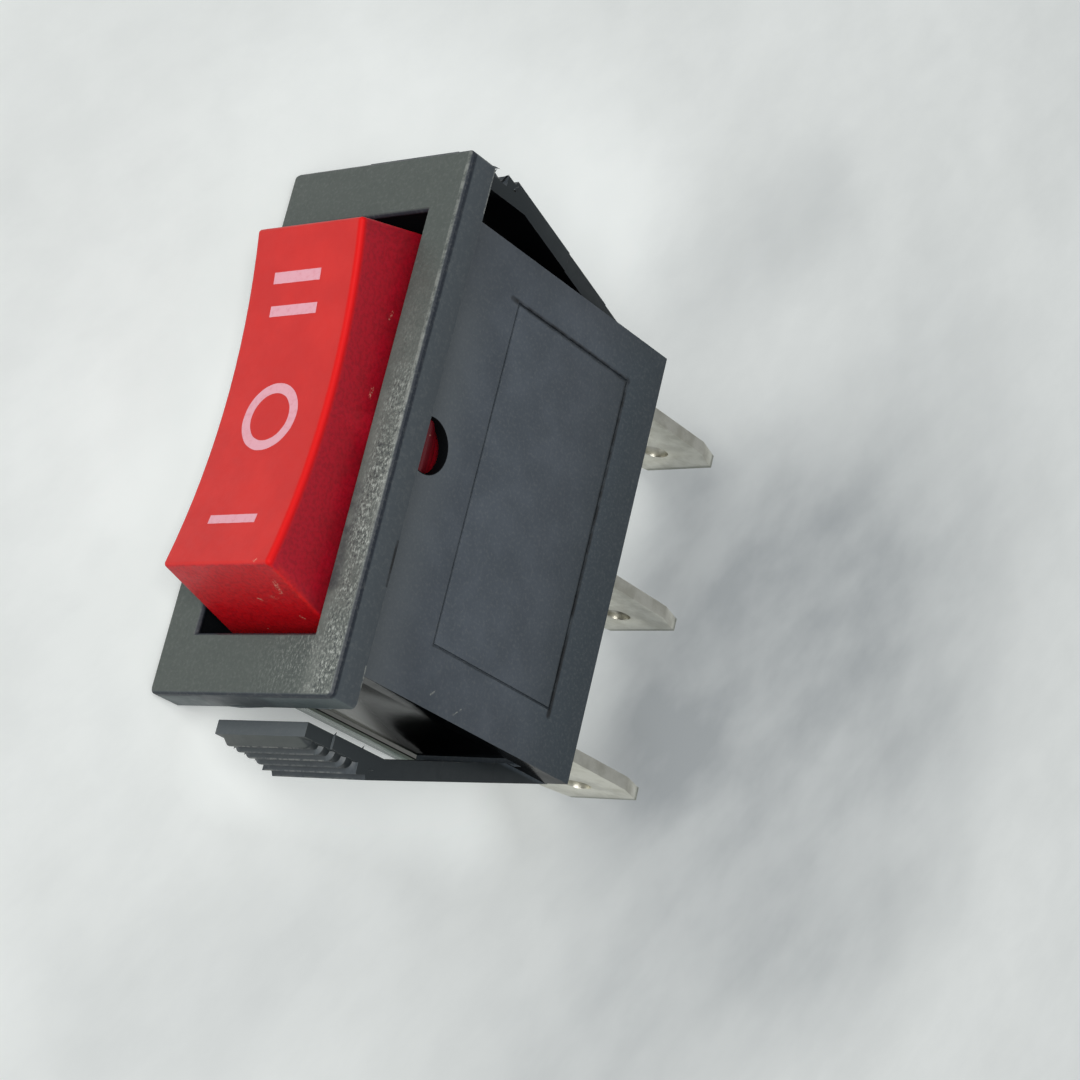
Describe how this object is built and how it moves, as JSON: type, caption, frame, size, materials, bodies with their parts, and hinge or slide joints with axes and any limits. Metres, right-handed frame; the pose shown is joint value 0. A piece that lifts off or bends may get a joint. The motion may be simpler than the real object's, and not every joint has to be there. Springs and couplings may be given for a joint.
{
  "type": "rocker switch",
  "caption": "Snap-in three-position rocker switch: a red concave rocker in a black rectangular bezel, springy side wings and flat blade terminals.",
  "frame": {"origin": "centre of the flange's underside, where the panel's front face lies", "axes": "+Z out of the panel through the rocker, +Y towards the rocker's II end, +X towards the side wall with the scored frame"},
  "size_m": [0.0134, 0.0352, 0.0346],
  "materials": {
    "black_nylon": "fine-grained, satin",
    "red_plastic": "satin red",
    "white_plastic": "natural nylon",
    "spring_steel": "drawn wire",
    "copper_strip": "rolled copper",
    "contact_alloy": "silver alloy",
    "tinned_brass": "tin-plated, slightly dull"
  },
  "bodies": {
    "housing": {"housing": "black_nylon", "common_terminal": "tinned_brass", "end_terminal_i": "tinned_brass", "end_terminal_ii": "tinned_brass", "fixed_contact_i": "contact_alloy", "fixed_contact_ii": "contact_alloy"},
    "rocker": {"rocker": "red_plastic", "spring": "spring_steel"},
    "plunger": {"plunger": "white_plastic"},
    "bridge": {"contact_bridge": "copper_strip", "moving_contact_i": "contact_alloy", "moving_contact_ii": "contact_alloy"}
  },
  "joints": [
    {"name": "rocker_tilt", "type": "hinge", "parent": "housing", "child": "rocker", "pos_m": [0, 0, -0.00198], "axis": [1, 0, 0], "range_deg": [-14, 14]},
    {"name": "plunger_slide", "type": "slide", "parent": "rocker", "child": "plunger", "axis": [0, 0, 1], "range_m": [0, 0.0015], "stiffness_N_per_m": 300, "springref_m": -0.004, "deforming": ["spring"]},
    {"name": "bridge_rock", "type": "hinge", "parent": "housing", "child": "bridge", "pos_m": [0, 0, -0.01165], "axis": [1, 0, 0], "range_deg": [-12, 12]}
  ],
  "couplings": [
    {"joint": "bridge_rock", "follows": "rocker_tilt", "ratio": -0.85714}
  ]
}
